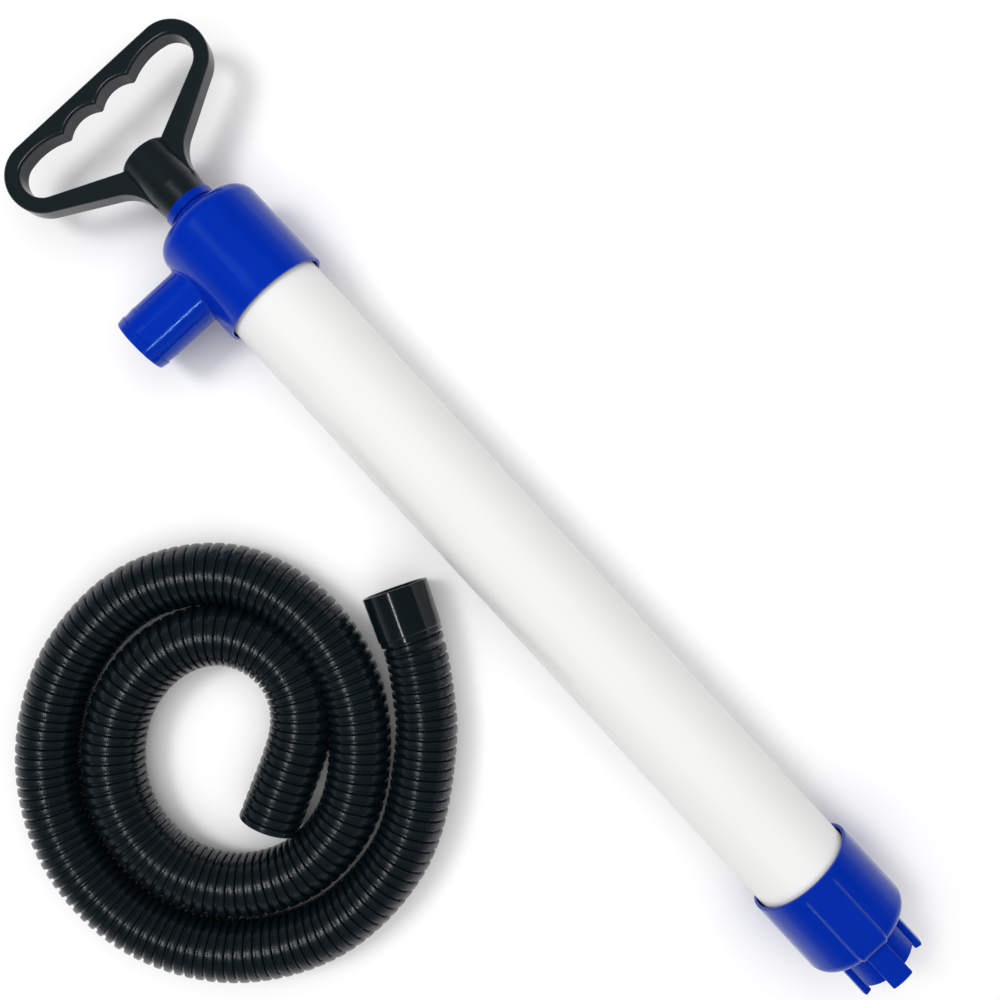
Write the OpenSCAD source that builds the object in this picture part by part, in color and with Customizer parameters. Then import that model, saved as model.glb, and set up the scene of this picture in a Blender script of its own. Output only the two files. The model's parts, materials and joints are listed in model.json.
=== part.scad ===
// Hand bilge pump for small boats: a piston pump with a D handle, a side outlet and a push-on hose.
// The pump lies on its side, along X from the foot to the handle. The hose lies coiled beside it.

/* [Barrel] */
// Outside diameter of the barrel tube
tube_od = 48.3; // [48:0.1:48.6]
// Wall of the barrel tube
tube_wall = 2.2; // [2:0.1:2.4]
// Length of tube that shows between the foot and the head
visible_tube = 355.7; // [350:0.1:400]
// Travel of the piston and handle
stroke = 360; // [340:1:362]

/* [Head] */
// Outside radius of the head's skirt and the foot's cup, which the pump lies on
rim_r = 26.8; // [26.4:0.1:27.2]
// Height of the head from its skirt edge to its flat top
head_h = 51; // [50:0.1:54]
// Rounding of the head's shoulder
head_round = 7.5; // [6:0.1:9]
// Radius of the outlet spout
spout_r = 14.2; // [13.8:0.1:14.4]
// Radius of the bore through the spout
spout_bore_r = 11.6; // [10.5:0.1:12]
// Reach of the spout from the pump's axis
spout_reach = 60.9; // [58:0.1:66]
// Radius of the gland cap's flange
collar_r = 12.75; // [12.4:0.05:13.5]

/* [Foot] */
// Radius of the foot's neck
neck_r = 16; // [15.6:0.1:17]
// Radius of the inlet bore through the neck
inlet_r = 13.4; // [12.6:0.1:13.6]
// Width of each of the four legs
leg_w = 11.5; // [9:0.5:13]
// How far the legs' tabs reach past the neck
tab_h = 4.2; // [3:0.1:6]

/* [Handle] */
// Width across the handle
handle_w = 115.2; // [110:0.2:120]
// Height from the handle's stem to the grip's outer edge
handle_h = 71.4; // [71:0.1:76]
// Thickness of the grip and arms
handle_t = 11.6; // [10:0.1:13]
// Outer radius of the two corners
lobe_r = 17.4; // [16:0.1:18]
// Width of the bar round the loop
bar_w = 7.3; // [6.5:0.1:8]
// Spacing of the finger ridges
finger_pitch = 19.9; // [18:0.1:21]

/* [Rod] */
// Outside diameter of the hollow rod
rod_od = 19; // [18.6:0.1:19]
// Wall of the rod
rod_wall = 1.5; // [1.2:0.1:1.8]

/* [Hose] */
// Outside diameter over the hose's ribs
hose_od = 29.4; // [28:0.1:29.6]
// Outside diameter of the smooth cuff at its mouth
cuff_od = 32; // [31:0.1:33]
// Radius of the cuff's bore, which pushes over the spout
cuff_bore_r = 14.5; // [14.3:0.05:14.6]

/* [Hidden] */
$fn = 96;
eps = 0.01;

// Radii shared by pieces that fit together
tube_r = tube_od / 2;
bore_r = tube_r - tube_wall;
rod_r = rod_od / 2;
running = 0.05;
loose = 0.3;

// Heights up the pump from the tips of the foot's tabs, along its own axis
neck_top = tab_h + 17;
cup_floor = neck_top + 3.5;
gasket_t = 1;
seat_z = cup_floor + gasket_t;
seat_t = 3;
tube_z0 = seat_z + seat_t;
cup_lip = tube_z0 + 34;
skirt_z = cup_lip + visible_tube;
tube_z1 = skirt_z + 13.4;
chamber_z = tube_z1 + gasket_t;
spout_z = skirt_z + 27;
head_top = skirt_z + head_h;
head_wall = 5;
head_draft = 0.3;
flare_h = 6;
rim_gap = 1.1;

// Foot
cup_round = 6;
leg_proud = 1.7;
tab_t = 3.8;
pad_w = 15;
pad_proud = 1;
pad_lip_gap = 3.4;

// Gland stack in the head's top
gland_r = 11.8;
boss_r = 15.5;
boss_h = 7.5;
gland_floor = head_top - 8;
gland_seal_t = 4;
flange_t = 4.2;
collar_top = head_top + 8.9;
recess_h = 1;
recess_r = collar_r - 0.8;
cap_bore_r = rod_r + 0.4;

// Valves and piston
port_n = 6;
foot_disc_r = 14.5;
foot_port_ring = 9;
foot_port_r = 3.2;
valve_pin_r = 2;
foot_disc_t = 1.6;
foot_lift = 3;
disc_gap = 0.1;
piston_z = tube_z0 + 19;
piston_h = 12;
piston_r = bore_r - 0.35;
piston_top = piston_z + piston_h;
seal_groove_r = 18;
seal_h = 6;
seal_r = bore_r - running;
port_ring = 13;
port_r = 2.4;
piston_disc_t = 1.5;
piston_disc_r = 17;
piston_lift = 2.5;
retainer_t = 2;
retainer_z = piston_top + disc_gap * 2 + piston_disc_t + piston_lift;
plug_h = 18;
screw_r = 2;
screw_len = 14;
guide_z = retainer_z + retainer_t + stroke + 0.5;

// Handle outline, in the plane of the loop
stem_r = recess_r - 0.35;
stem_z = collar_top - recess_h + loose;
grip_z = stem_z + handle_h;
lobe_x = handle_w / 2 - lobe_r;
lobe_z = grip_z - lobe_r;
hub_r = 12.8;
hub_top = stem_z + 30.6;
arm_outer_a = 29;
arm_inner_a = 25;
stem_fillet = 18;
ridge_depth = 10.3;
valley_depth = 6.7;
socket_h = 22;

// Row frame: the pump lies along X on its two rims, centred on its own box
total_len = grip_z;
axis_y = -(spout_reach - handle_w / 2) / 2;

// Hose route: the cuff, a lead-in, two spiral turns, and the loose inner end
hose_r = hose_od / 2;
cuff_r = cuff_od / 2;
cuff_taper = 0.4;
cuff_mouth = [9, 50];
cuff_base = [-14, 60];
hose_lead = [[-25, 66], [-37, 74], [-49, 83]];
coil_centre = [3, 160];
coil_start_a = 227;
coil_step_a = 30;
coil_pitch = 30.7;
coil_steps = 20;
outer_turn_r = [91, 92, 93, 92, 90, 88, 87, 88, 89, 85, 74, 65];
hose_tail = [[54.5, 133], [44, 121.5], [30, 115], [15, 114], [0.5, 119], [-11, 129], [-19, 142],
             [-26, 156], [-33, 170]];
ring_sides = 12;
ring_gap = 17;

function arc(cx, cy, r, a0, a1, n) =
    [for (i = [0:n]) let (a = a0 + (a1 - a0) * i / n) [cx + r * cos(a), cy + r * sin(a)]];
function mirrored(pts) = [for (i = [len(pts) - 1:-1:0]) [-pts[i][0], pts[i][1]]];

// Lays a module modelled upright along +Z down on the floor, foot to -X
module lay() {
    translate([-total_len / 2, axis_y, rim_r]) rotate([0, 90, 0]) children();
}

module ring(r_out, r_in, z, h) {
    translate([0, 0, z]) difference() {
        cylinder(r = r_out, h = h);
        translate([0, 0, -1]) cylinder(r = r_in, h = h + 2);
    }
}

module port_circle(ring_r, r, z, h) {
    for (i = [0:port_n - 1])
        rotate([0, 0, i * 360 / port_n + 30]) translate([ring_r, 0, z]) cylinder(r = r, h = h);
}

// ---- Barrel and head ----

module barrel_tube() {
    color("whitesmoke") lay() ring(tube_r, bore_r, tube_z0, tube_z1 - tube_z0);
}

// Half section of the head: skirt, rounded shoulder, flat top, chamber and hanging gland boss
module head_section() {
    top_r = rim_r - head_draft;
    difference() {
        union() {
            polygon([[0, skirt_z], [rim_r, skirt_z], [top_r, head_top - head_round],
                     [0, head_top - head_round]]);
            translate([0, skirt_z]) square([top_r - head_round, head_h]);
            translate([top_r - head_round, head_top - head_round]) circle(r = head_round);
        }
        translate([-1, skirt_z - 1]) square([tube_r + rim_gap + 1, flare_h + 1]);
        translate([-1, skirt_z]) square([tube_r + 1, chamber_z - skirt_z]);
        difference() {
            translate([-1, chamber_z - eps]) square([bore_r + 1, head_top - head_wall - chamber_z]);
            translate([0, head_top - head_wall - boss_h]) square([boss_r, boss_h + 1]);
        }
        translate([-1, skirt_z]) square([gland_r + 1, head_h + 1]);
    }
}

// Spout outline: a flared root, plain to the first barb, then two barbs whose crests face the head
module spout_section() {
    barb_1 = spout_reach - 10.5;
    barb_2 = spout_reach - 4.3;
    crest = spout_r + 0.2;
    root_y = 29;
    flare = 2;
    polygon([[0, 0], [spout_r + flare, 0], [spout_r + flare, root_y - 2 * flare], [spout_r, root_y],
             [spout_r, barb_1], [crest, barb_1], [spout_r - 0.6, barb_2], [crest, barb_2],
             [spout_r - 0.7, spout_reach], [0, spout_reach]]);
}

module head_body() {
    root_start = 18;
    color("mediumblue") lay() difference() {
        union() {
            rotate_extrude() head_section();
            translate([0, 0, spout_z]) rotate([-90, 0, 0]) difference() {
                rotate_extrude() spout_section();
                translate([-rim_r, -rim_r, -1]) cube([2 * rim_r, 2 * rim_r, root_start + 1]);
            }
        }
        translate([0, 0, spout_z]) rotate([-90, 0, 0]) cylinder(r = spout_bore_r, h = spout_reach + 1);
        translate([0, 0, skirt_z - 1]) cylinder(r = tube_r, h = chamber_z - skirt_z + 1);
        translate([0, 0, chamber_z]) cylinder(r = gland_r + eps, h = head_h);
        difference() {
            translate([0, 0, chamber_z]) cylinder(r = bore_r, h = head_top - head_wall - chamber_z);
            translate([0, 0, head_top - head_wall - boss_h]) cylinder(r = boss_r, h = boss_h + 1);
        }
    }
}

module head_gasket() {
    color("dimgray") lay() ring(tube_r, bore_r, tube_z1, gasket_t);
}

module gland_cap() {
    color("mediumblue") lay() difference() {
        union() {
            translate([0, 0, gland_floor + gland_seal_t])
                cylinder(r = gland_r, h = collar_top - gland_floor - gland_seal_t);
            translate([0, 0, collar_top - flange_t]) cylinder(r = collar_r, h = flange_t - 0.8);
            translate([0, 0, collar_top - 0.8]) cylinder(r1 = collar_r, r2 = collar_r - 0.4, h = 0.8);
        }
        translate([0, 0, gland_floor]) cylinder(r = cap_bore_r, h = collar_top);
        translate([0, 0, collar_top - recess_h]) cylinder(r = recess_r, h = recess_h + 1);
    }
}

module gland_seal() {
    color("black") lay() ring(gland_r, rod_r + running, gland_floor, gland_seal_t);
}

module guide_bush() {
    color("ivory") lay() ring(gland_r, rod_r + running, guide_z, gland_floor - guide_z);
}

// ---- Foot ----

module foot_section() {
    difference() {
        union() {
            translate([0, tab_h]) square([neck_r, neck_top]);
            translate([0, neck_top + cup_round]) square([rim_r, cup_lip - neck_top - cup_round]);
            translate([0, neck_top]) square([rim_r - cup_round, cup_round + 1]);
            translate([rim_r - cup_round, neck_top + cup_round]) circle(r = cup_round);
        }
        translate([-1, 0]) square([inlet_r + 1, cup_lip]);
        translate([-1, cup_floor]) square([tube_r + 1, cup_lip]);
        translate([-1, cup_lip - flare_h]) square([tube_r + rim_gap + 1, flare_h + 1]);
    }
}

// One leg: a rib up the neck that ends in a tab below it
module leg() {
    intersection() {
        union() {
            translate([neck_r - 1, -leg_w / 2, 0]) cube([leg_proud + 1, leg_w, neck_top + 1]);
            translate([neck_r + leg_proud - tab_t, -leg_w / 2, 0]) cube([tab_t, leg_w, tab_h + 1]);
        }
        cylinder(r = neck_r + leg_proud, h = neck_top + 1);
    }
}

// Raised pad up the cup, on the side that faces up when the pump lies down
module cup_pad() {
    pad_top = cup_lip - pad_lip_gap;
    pad_base = neck_top + cup_round;
    corner = 3;
    intersection() {
        ring(rim_r + pad_proud, rim_r - 1, pad_base, pad_top - pad_base);
        rotate([0, -90, 0]) linear_extrude(height = rim_r + 5) union() {
            translate([pad_base, -pad_w / 2]) square([pad_top - pad_base - corner, pad_w]);
            translate([pad_base, -pad_w / 2 + corner]) square([pad_top - pad_base, pad_w - 2 * corner]);
            for (s = [-1, 1])
                translate([pad_top - corner, s * (pad_w / 2 - corner)]) circle(r = corner);
        }
    }
}

module foot_cap() {
    color("mediumblue") lay() union() {
        rotate_extrude() foot_section();
        for (a = [0:90:270]) rotate([0, 0, a]) leg();
        cup_pad();
    }
}

module foot_gasket() {
    color("dimgray") lay() ring(tube_r, inlet_r + 2, cup_floor, gasket_t);
}

module foot_valve_seat() {
    color("ivory") lay() difference() {
        translate([0, 0, seat_z]) cylinder(r = tube_r, h = seat_t);
        translate([0, 0, seat_z - 1]) cylinder(r = valve_pin_r, h = seat_t + 2);
        port_circle(foot_port_ring, foot_port_r, seat_z - 1, seat_t + 2);
    }
}

module foot_valve_pin() {
    stem_len = seat_t + disc_gap * 2 + foot_disc_t + foot_lift;
    color("ivory") lay() union() {
        translate([0, 0, seat_z]) cylinder(r = valve_pin_r, h = stem_len + 1);
        translate([0, 0, seat_z + stem_len]) cylinder(r = 5, h = 1.6);
    }
}

module foot_valve_disc() {
    color("black") lay() ring(foot_disc_r, valve_pin_r + loose, tube_z0 + disc_gap, foot_disc_t);
}

// Round plate with three rings of holes, pressed into the inlet
module strainer_plate() {
    plate_z = tab_h + 3;
    plate_t = 2;
    hole_r = 1.3;
    color("mediumblue") lay() difference() {
        translate([0, 0, plate_z]) cylinder(r = inlet_r, h = plate_t);
        for (k = [0:3], i = [0:max(0, 6 * k - 1)])
            rotate([0, 0, k == 0 ? 0 : i * 60 / k])
                translate([k * 3.7, 0, plate_z - 1]) cylinder(r = hole_r, h = plate_t + 2, $fn = 24);
    }
}

// ---- Handle, rod and piston ----

// Right half of the outside of the loop, from the grip down to the stem
function outer_half() =
    let (a = -90 + arm_outer_a,
         tx = lobe_x + lobe_r * cos(a),
         tz = lobe_z + lobe_r * sin(a),
         corner_z = tz - (tx - hub_r + 0.5) * tan(arm_outer_a),
         reach = stem_fillet * tan((90 - arm_outer_a) / 2),
         foot_z = corner_z - reach)
    concat(arc(lobe_x, lobe_z, lobe_r, 90, a, 16),
           arc(hub_r - 0.5 + stem_fillet, foot_z, stem_fillet, 90 + arm_outer_a, 180, 10),
           [[stem_r - 2, stem_z + 1]]);

// Right half of the hole: middle ridge, finger hollow, second ridge, corner and arm
function inner_half() =
    let (ridge_z = grip_z - ridge_depth,
         sag = ridge_depth - valley_depth,
         half = finger_pitch / 2,
         r1 = (half * half + sag * sag) / (2 * sag),
         a1 = asin(half / r1),
         end_x = lobe_x - 6.5,
         half2 = end_x - finger_pitch,
         r2 = (half2 * half2 + sag * sag) / (2 * sag),
         a2 = asin(half2 / r2),
         inner_r = lobe_r - bar_w)
    concat(arc(half, ridge_z + sag - r1, r1, 90 + a1, 90 - a1, 8),
           arc(end_x, ridge_z + sag - r2, r2, 90 + a2 * 0.85, 90, 5),
           arc(lobe_x, lobe_z, inner_r, 75, -90 + arm_inner_a, 14),
           [[hub_r - 1, hub_top - 0.5]]);

module loop_outline() {
    difference() {
        polygon(concat(outer_half(), mirrored(outer_half())));
        polygon(concat(inner_half(), mirrored(inner_half())));
    }
}

module handle() {
    color("darkslategray") lay() difference() {
        union() {
            rotate([0, 0, 90]) rotate([90, 0, 0])
                translate([0, 0, -handle_t / 2]) linear_extrude(height = handle_t) loop_outline();
            translate([0, 0, stem_z]) cylinder(r = stem_r, h = 1);
            translate([0, 0, stem_z + 1]) cylinder(r1 = stem_r, r2 = hub_r, h = 9);
            translate([0, 0, stem_z + 10]) cylinder(r = hub_r, h = hub_top - stem_z - 11.5);
            translate([0, 0, hub_top - 1.5]) cylinder(r1 = hub_r, r2 = hub_r - 1.2, h = 1.5);
        }
        translate([0, 0, stem_z - 1]) cylinder(r = rod_r, h = socket_h + 1);
    }
}

module rod_tube() {
    color("silver") lay() ring(rod_r, rod_r - rod_wall, piston_top, stem_z + socket_h - piston_top);
}

module rod_plug() {
    color("dimgray") lay() difference() {
        translate([0, 0, piston_top]) cylinder(r = rod_r - rod_wall, h = plug_h);
        translate([0, 0, piston_top - 1]) cylinder(r = screw_r, h = screw_len + 1);
    }
}

module piston_body() {
    groove_z = piston_z + (piston_h - seal_h) / 2;
    color("dimgray") lay() difference() {
        translate([0, 0, piston_z]) cylinder(r = piston_r, h = piston_h);
        ring(piston_r + 1, seal_groove_r, groove_z, seal_h);
        translate([0, 0, piston_z - 1]) cylinder(r = screw_r, h = piston_h + 2);
        port_circle(port_ring, port_r, piston_z - 1, piston_h + 2);
    }
}

module piston_seal() {
    seal_z = piston_z + (piston_h - seal_h) / 2 + disc_gap;
    color("black") lay() ring(seal_r, seal_groove_r + running, seal_z, seal_h - 2 * disc_gap);
}

module piston_valve_disc() {
    color("black") lay() ring(piston_disc_r, rod_r + loose, piston_top + disc_gap, piston_disc_t);
}

module piston_retainer() {
    color("dimgray") lay() ring(port_ring, rod_r, retainer_z, retainer_t);
}

module piston_washer() {
    color("silver") lay() ring(7, screw_r, piston_z - 1, 1);
}

module piston_screw() {
    color("silver") lay() union() {
        translate([0, 0, piston_z - 1]) cylinder(r = screw_r, h = piston_h + screw_len + 1);
        translate([0, 0, piston_z - 4]) cylinder(r = 4, h = 3);
    }
}

// ---- Hose ----

cuff_dir = (cuff_mouth - cuff_base) / norm(cuff_mouth - cuff_base);
cuff_len = norm(cuff_mouth - cuff_base);

// Radius of the coil at a step: each later turn lies one pitch inside the one before
function coil_r(k) = outer_turn_r[k % 12] - coil_pitch * floor(k / 12);
function coil_point(k) =
    let (a = coil_start_a - coil_step_a * k)
    [coil_centre[0] + coil_r(k) * cos(a), coil_centre[1] + coil_r(k) * sin(a)];
function raised(p, z) = [p[0], p[1], z];

hose_keys = concat([raised(cuff_base, cuff_r), raised(hose_lead[0], (cuff_r + hose_r) / 2)],
                   [for (i = [1:2]) raised(hose_lead[i], hose_r)],
                   [for (k = [0:coil_steps]) raised(coil_point(k), hose_r)],
                   [for (p = hose_tail) raised(p, hose_r)]);

// Smooth curve through the keys: each span is a cubic between its two keys and their tangents
last_key = len(hose_keys) - 1;
function gap(i) = norm(hose_keys[i + 1] - hose_keys[i]);
function heading(i) = (hose_keys[i + 1] - hose_keys[i]) / gap(i);
function tangent(i) =
    i == 0 ? [-cuff_dir[0], -cuff_dir[1], 0]
    : i == last_key ? heading(i - 1)
    : (heading(i - 1) * gap(i) + heading(i) * gap(i - 1)) / (gap(i - 1) + gap(i));
function curve(i, t) =
    let (a = hose_keys[i], b = hose_keys[i + 1], u = tangent(i) * gap(i), v = tangent(i + 1) * gap(i))
    a + u * t + (3 * (b - a) - 2 * u - v) * t * t + (2 * (a - b) + u + v) * t * t * t;
hose_path = concat([for (i = [0:last_key - 1]) let (n = ceil(gap(i) / ring_gap))
                    each [for (j = [0:n - 1]) curve(i, j / n)]], [hose_keys[last_key]]);

// Ring of points round the path; the first one stands square to the cuff
function path_dir(i) = i == 0 ? [-cuff_dir[0], -cuff_dir[1], 0]
    : let (a = hose_path[max(0, i - 1)], b = hose_path[min(len(hose_path) - 1, i + 1)]) (b - a) / norm(b - a);
function hose_ring(i) =
    let (d = path_dir(i), side = cross([0, 0, 1], d) / norm(cross([0, 0, 1], d)), up = cross(d, side))
    [for (s = [0:ring_sides - 1]) let (a = 360 * s / ring_sides)
        hose_path[i] + hose_r * (cos(a) * side + sin(a) * up)];

module hose_tube() {
    n = len(hose_path);
    m = ring_sides;
    walls = [for (i = [0:n - 2], s = [0:m - 1]) let (a = i * m + s, b = i * m + (s + 1) % m)
             [a, a + m, b + m, b]];
    caps = [[for (s = [0:m - 1]) s], [for (s = [m - 1:-1:0]) (n - 1) * m + s]];
    color("#1c2226") polyhedron(points = [for (i = [0:n - 1]) each hose_ring(i)],
                                faces = concat(walls, caps), convexity = 10);
}

module hose_cuff() {
    back_t = 4;
    color("black") translate([cuff_base[0], cuff_base[1], cuff_r])
        rotate([0, 0, atan2(cuff_dir[1], cuff_dir[0])]) rotate([0, 90, 0]) difference() {
            cylinder(r1 = cuff_r - cuff_taper, r2 = cuff_r, h = cuff_len);
            translate([0, 0, back_t]) cylinder(r = cuff_bore_r, h = cuff_len);
            translate([0, 0, -1]) cylinder(r = hose_r - 3, h = cuff_len);
        }
}

barrel_tube();
head_body();
head_gasket();
gland_cap();
gland_seal();
guide_bush();
foot_cap();
foot_gasket();
foot_valve_seat();
foot_valve_pin();
foot_valve_disc();
strainer_plate();
handle();
rod_tube();
rod_plug();
piston_body();
piston_seal();
piston_valve_disc();
piston_retainer();
piston_washer();
piston_screw();
hose_cuff();
hose_tube();
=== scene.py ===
"""Hand bilge pump: the finished pieces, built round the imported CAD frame, and the studio they lie in.

Every pump piece is drawn upright in millimetres, with Z up the pump from the tips of the foot, and is then
laid down on the floor as the CAD lays it. The hose is drawn where it lies.
"""

from __future__ import annotations

import json
import logging
import math
from collections.abc import Callable
from dataclasses import dataclass, field
from enum import Enum

import bmesh
import bpy
from mathutils import Matrix, Vector
from mathutils.geometry import tessellate_polygon

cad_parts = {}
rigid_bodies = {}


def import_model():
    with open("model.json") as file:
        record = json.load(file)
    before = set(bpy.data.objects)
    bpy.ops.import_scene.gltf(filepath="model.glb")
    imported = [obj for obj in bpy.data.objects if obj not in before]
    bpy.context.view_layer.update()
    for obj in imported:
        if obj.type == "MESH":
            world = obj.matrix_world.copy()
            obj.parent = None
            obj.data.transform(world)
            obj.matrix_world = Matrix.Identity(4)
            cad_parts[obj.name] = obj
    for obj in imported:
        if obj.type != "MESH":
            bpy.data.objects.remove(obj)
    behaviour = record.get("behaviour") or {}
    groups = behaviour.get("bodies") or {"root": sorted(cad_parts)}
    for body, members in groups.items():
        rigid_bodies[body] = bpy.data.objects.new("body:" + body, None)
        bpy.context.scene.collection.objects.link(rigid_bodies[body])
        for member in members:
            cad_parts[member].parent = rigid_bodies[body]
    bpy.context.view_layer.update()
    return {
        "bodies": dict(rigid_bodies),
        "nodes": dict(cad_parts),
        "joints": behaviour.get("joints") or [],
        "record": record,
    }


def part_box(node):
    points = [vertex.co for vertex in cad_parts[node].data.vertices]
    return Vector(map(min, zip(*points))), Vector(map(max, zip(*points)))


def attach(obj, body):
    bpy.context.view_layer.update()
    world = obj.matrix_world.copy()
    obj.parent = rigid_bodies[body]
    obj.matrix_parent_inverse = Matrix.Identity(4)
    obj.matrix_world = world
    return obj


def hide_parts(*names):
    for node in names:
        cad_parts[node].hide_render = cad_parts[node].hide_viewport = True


LOG = logging.getLogger("bilge_pump")
MM = 0.001
Point = tuple[float, float]
Corner = tuple[float, float, float]

# Facets round the large, middling and small turned pieces
LARGE_SIDES = 256
MIDDLE_SIDES = 160
SMALL_SIDES = 128
# Edges that bend by more than this many degrees stay sharp
SHARP_ANGLE = 38
# Sizes of the cloudy patches and of the scuffed spots in every finish, in metres
CLOUD_SIZE = 0.03
SCUFF_SIZE = 0.006
# Thickness of the white tube's wall, in millimetres
TUBE_WALL = 2.2


class Body(Enum):
    """The bodies of the CAD model that the finished pieces ride on."""

    BARREL = "barrel"
    PLUNGER = "plunger"
    HOSE = "hose"


class Slot(Enum):
    """The record's material slots."""

    BARREL = "barrel"
    MOULDING = "moulding"
    GRIP = "grip"
    HOSE = "hose"
    CUFF = "cuff"
    RUBBER = "rubber"
    BUSH = "bush"
    ROD = "rod"
    STEEL = "steel"


class Grain(Enum):
    """How a finish's fine texture runs."""

    EVEN = (1.0, 1.0, 1.0)
    ALONG_BARREL = (0.02, 1.0, 1.0)


@dataclass(frozen=True)
class Finish:
    """A procedural surface finish.

    Attributes:
        slot: The record's material slot.
        colour: Linear base colour.
        roughness: Middle roughness.
        spread: How far the roughness wanders either side of the middle.
        shade: How much darker the colour gets in its cloudy patches, from 0 to 1.
        grain_size: Size of the fine texture, in metres.
        grain_depth: Height of the fine texture, in metres.
        metallic: 1 for metals.
        gloss: How strongly it mirrors, where 0.5 is usual for plastic.
        tint: Colour of what it mirrors head-on.
        grain: Which way the fine texture runs.
        scuffs: How much lighter and rougher the scuffed spots are, from 0 to 1.
    """

    slot: Slot
    colour: tuple[float, float, float]
    roughness: float
    spread: float = 0.04
    shade: float = 0.1
    grain_size: float = 0.0008
    grain_depth: float = 0.00002
    metallic: float = 0.0
    gloss: float = 0.5
    tint: tuple[float, float, float] = (1.0, 1.0, 1.0)
    grain: Grain = Grain.EVEN
    scuffs: float = 0.0

    def material(self) -> bpy.types.Material:
        """Makes the finish's material, or returns it if it is made already.

        Returns:
            The node material.
        """
        known = bpy.data.materials.get(self.slot.value + "_finish")
        if known:
            return known
        made = bpy.data.materials.new(self.slot.value + "_finish")
        made.use_nodes = True
        nodes, links = made.node_tree.nodes, made.node_tree.links
        shader = nodes["Principled BSDF"]
        shader.inputs["Metallic"].default_value = self.metallic
        shader.inputs["Specular IOR Level"].default_value = self.gloss
        shader.inputs["Specular Tint"].default_value = (*self.tint, 1.0)
        place = nodes.new("ShaderNodeTexCoord").outputs["Object"]
        run = nodes.new("ShaderNodeMapping")
        run.inputs["Scale"].default_value = self.grain.value
        links.new(place, run.inputs["Vector"])
        clouds = self._noise(nodes, links, place, CLOUD_SIZE, 3.0)
        fine = self._noise(nodes, links, run.outputs["Vector"], self.grain_size, 4.0)
        scuff = self._noise(nodes, links, place, SCUFF_SIZE, 8.0)
        spots = self._range(nodes, links, scuff, (0.62, 0.75), (0.0, self.scuffs))
        tint = nodes.new("ShaderNodeMix")
        tint.data_type = "RGBA"
        tint.inputs["A"].default_value = (*self.colour, 1.0)
        tint.inputs["B"].default_value = (*(c * (1 - self.shade) for c in self.colour), 1.0)
        links.new(clouds, tint.inputs["Factor"])
        worn = nodes.new("ShaderNodeMix")
        worn.data_type = "RGBA"
        worn.inputs["B"].default_value = (*(min(1.0, c * 1.25 + 0.02) for c in self.colour), 1.0)
        links.new(spots, worn.inputs["Factor"])
        links.new(tint.outputs["Result"], worn.inputs["A"])
        links.new(worn.outputs["Result"], shader.inputs["Base Color"])
        low, high = self.roughness - self.spread, self.roughness + self.spread
        rough = self._range(nodes, links, fine, (0.3, 0.7), (low, high))
        dull = nodes.new("ShaderNodeMath")
        dull.operation = "ADD"
        dull.use_clamp = True
        links.new(rough, dull.inputs[0])
        links.new(self._range(nodes, links, spots, (0.0, 1.0), (0.0, 0.2)), dull.inputs[1])
        links.new(dull.outputs["Value"], shader.inputs["Roughness"])
        bump = nodes.new("ShaderNodeBump")
        bump.inputs["Strength"].default_value = 1.0
        bump.inputs["Distance"].default_value = self.grain_depth
        links.new(fine, bump.inputs["Height"])
        links.new(bump.outputs["Normal"], shader.inputs["Normal"])
        return made

    @staticmethod
    def _noise(nodes: bpy.types.Nodes, links: bpy.types.NodeLinks, place: bpy.types.NodeSocket,
               size: float, detail: float) -> bpy.types.NodeSocket:
        """Adds a noise of a given grain size in metres and returns its value socket."""
        noise = nodes.new("ShaderNodeTexNoise")
        noise.inputs["Scale"].default_value = 1.0 / size
        noise.inputs["Detail"].default_value = detail
        links.new(place, noise.inputs["Vector"])
        return noise.outputs["Fac"]

    @staticmethod
    def _range(nodes: bpy.types.Nodes, links: bpy.types.NodeLinks, value: bpy.types.NodeSocket,
               given: Point, wanted: Point) -> bpy.types.NodeSocket:
        """Adds a clamped change of range and returns its result socket."""
        change = nodes.new("ShaderNodeMapRange")
        change.inputs["From Min"].default_value = given[0]
        change.inputs["From Max"].default_value = given[1]
        change.inputs["To Min"].default_value = wanted[0]
        change.inputs["To Max"].default_value = wanted[1]
        links.new(value, change.inputs["Value"])
        return change.outputs["Result"]


WHITE_TUBE = Finish(Slot.BARREL, (0.80, 0.80, 0.79), 0.25, spread=0.02, shade=0.02, grain_size=0.003,
                    grain_depth=0.000002, grain=Grain.ALONG_BARREL)
BLUE_MOULDING = Finish(Slot.MOULDING, (0.0, 0.021, 0.36), 0.14, spread=0.03, shade=0.12, gloss=0.4,
                       tint=(0.3, 0.7, 1.0), grain_size=0.004, grain_depth=0.000012, scuffs=0.03)
BLACK_GRIP = Finish(Slot.GRIP, (0.005, 0.0095, 0.012), 0.22, shade=0.2, gloss=0.4, grain_size=0.0005,
                    grain_depth=0.000006)
BLACK_HOSE = Finish(Slot.HOSE, (0.003, 0.0075, 0.0105), 0.26, shade=0.25, grain_size=0.002,
                    grain_depth=0.000012)
BLACK_CUFF = Finish(Slot.CUFF, (0.003, 0.007, 0.0095), 0.12, spread=0.03, shade=0.25, grain_size=0.006,
                    grain_depth=0.00001)
RUBBER = Finish(Slot.RUBBER, (0.02, 0.02, 0.02), 0.7, shade=0.3, grain_size=0.0006, grain_depth=0.00004)
ACETAL = Finish(Slot.BUSH, (0.72, 0.70, 0.62), 0.4, shade=0.08, grain_size=0.001, grain_depth=0.00002)
DRAWN_TUBE = Finish(Slot.ROD, (0.78, 0.79, 0.80), 0.28, spread=0.08, shade=0.08, grain_size=0.0006,
                    grain_depth=0.000008, metallic=1.0, grain=Grain.ALONG_BARREL, scuffs=0.2)
STEEL = Finish(Slot.STEEL, (0.62, 0.61, 0.60), 0.25, spread=0.06, shade=0.1, grain_size=0.0005,
               grain_depth=0.00001, metallic=1.0)


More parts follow.
